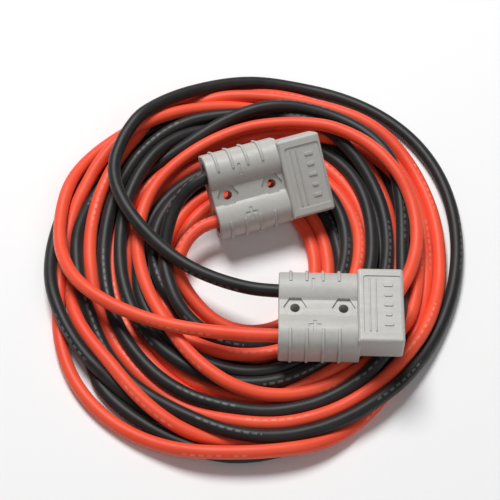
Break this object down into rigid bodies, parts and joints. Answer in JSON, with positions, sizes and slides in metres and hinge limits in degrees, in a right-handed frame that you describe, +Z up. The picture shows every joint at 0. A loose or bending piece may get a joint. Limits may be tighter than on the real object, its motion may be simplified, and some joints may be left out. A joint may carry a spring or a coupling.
{
  "type": "solar cable connector",
  "caption": "Red and black power lead laid in a loose coil, with a moulded genderless connector housing at each end for joining solar panels, batteries and chargers.",
  "frame": {"origin": "centre of the coil's footprint, on the surface it lies on", "axes": "+Z up; +X towards the noses of the connectors; +Y across the coil, from connector B to connector A"},
  "size_m": [0.1666, 0.1784, 0.0353],
  "materials": {
    "housing": "satin moulded",
    "contact": "silver plated copper",
    "spring": "satin stainless",
    "copper": "bare stranded copper",
    "insulation_red": "matte silicone",
    "insulation_black": "matte silicone"
  },
  "bodies": {
    "root": {"cable_coil": "insulation_red", "housing_a": "housing", "housing_b": "housing", "lead_a_pos": "insulation_red", "lead_a_neg": "insulation_black", "lead_b_pos": "insulation_red", "lead_b_neg": "insulation_black"},
    "pole_a_pos": {"contact_a_pos": "contact", "wire_end_a_pos": "copper"},
    "leaf_a_pos": {"spring_a_pos": "spring"},
    "pole_a_neg": {"contact_a_neg": "contact", "wire_end_a_neg": "copper"},
    "leaf_a_neg": {"spring_a_neg": "spring"},
    "pole_b_pos": {"contact_b_pos": "contact", "wire_end_b_pos": "copper"},
    "leaf_b_pos": {"spring_b_pos": "spring"},
    "pole_b_neg": {"contact_b_neg": "contact", "wire_end_b_neg": "copper"},
    "leaf_b_neg": {"spring_b_neg": "spring"}
  },
  "joints": [
    {"name": "contact_a_pos_press", "type": "hinge", "parent": "root", "child": "pole_a_pos", "pos_m": [-0.00277, 0.0145, 0.01303], "axis": [-0.2354, 0.729, 0.6428], "range_deg": [0, 2.5], "stiffness_Nm_per_rad": 0.6},
    {"name": "spring_a_pos_flex", "type": "hinge", "parent": "root", "child": "leaf_a_pos", "pos_m": [0.00755, 0.01996, 0.01062], "axis": [-0.2354, 0.729, 0.6428], "range_deg": [0, 4.75]},
    {"name": "contact_a_neg_press", "type": "hinge", "parent": "root", "child": "pole_a_neg", "pos_m": [-0.00729, 0.02849, 0.02537], "axis": [-0.2354, 0.729, 0.6428], "range_deg": [0, 2.5], "stiffness_Nm_per_rad": 0.6},
    {"name": "spring_a_neg_flex", "type": "hinge", "parent": "root", "child": "leaf_a_neg", "pos_m": [0.00303, 0.03395, 0.02296], "axis": [-0.2354, 0.729, 0.6428], "range_deg": [0, 4.75]},
    {"name": "contact_b_pos_press", "type": "hinge", "parent": "root", "child": "pole_b_pos", "pos_m": [0.0217, -0.04587, 0.021], "axis": [0.0209, 0.9998, 0], "range_deg": [0, 2.5], "stiffness_Nm_per_rad": 0.6},
    {"name": "spring_b_pos_flex", "type": "hinge", "parent": "root", "child": "leaf_b_pos", "pos_m": [0.03319, -0.04611, 0.01785], "axis": [0.0209, 0.9998, 0], "range_deg": [0, 4.75]},
    {"name": "contact_b_neg_press", "type": "hinge", "parent": "root", "child": "pole_b_neg", "pos_m": [0.0221, -0.02667, 0.021], "axis": [0.0209, 0.9998, 0], "range_deg": [0, 2.5], "stiffness_Nm_per_rad": 0.6},
    {"name": "spring_b_neg_flex", "type": "hinge", "parent": "root", "child": "leaf_b_neg", "pos_m": [0.0336, -0.02692, 0.01785], "axis": [0.0209, 0.9998, 0], "range_deg": [0, 4.75]}
  ],
  "couplings": [
    {"joint": "spring_a_pos_flex", "follows": "contact_a_pos_press", "ratio": 1.9},
    {"joint": "spring_a_neg_flex", "follows": "contact_a_neg_press", "ratio": 1.9},
    {"joint": "spring_b_pos_flex", "follows": "contact_b_pos_press", "ratio": 1.9},
    {"joint": "spring_b_neg_flex", "follows": "contact_b_neg_press", "ratio": 1.9}
  ]
}
